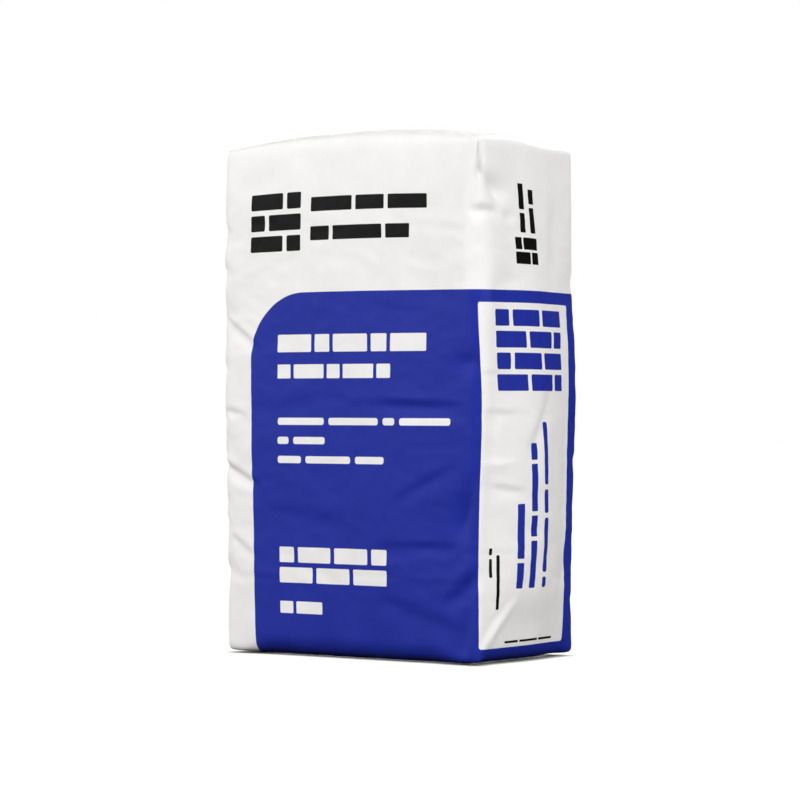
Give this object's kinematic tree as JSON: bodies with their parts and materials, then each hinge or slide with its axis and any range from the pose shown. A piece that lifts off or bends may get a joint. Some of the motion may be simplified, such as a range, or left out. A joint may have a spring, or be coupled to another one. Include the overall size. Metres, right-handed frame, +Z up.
{
  "type": "cement bag",
  "caption": "Filled paper sack for cement, standing upright on its pasted block bottom, with cover patches on both ends and a flat valve sleeve under the top one.",
  "frame": {"origin": "middle of the sack's footprint, on the floor that it stands on", "axes": "+Z up, the tall way of the sack; the broad faces look along -Y and +Y, the narrow sides along -X and +X, and the valve is at the -X end of the top"},
  "size_m": [0.2966, 0.1566, 0.454],
  "materials": {
    "sack_paper": "smooth white printed sack paper, satin",
    "patch_paper": "plain white sack paper, matte",
    "sleeve_paper": "unbleached sack paper, matte"
  },
  "bodies": {
    "root": {"sack": "sack_paper", "top_patch": "patch_paper", "bottom_patch": "patch_paper", "valve_sleeve": "sleeve_paper"}
  },
  "joints": []
}
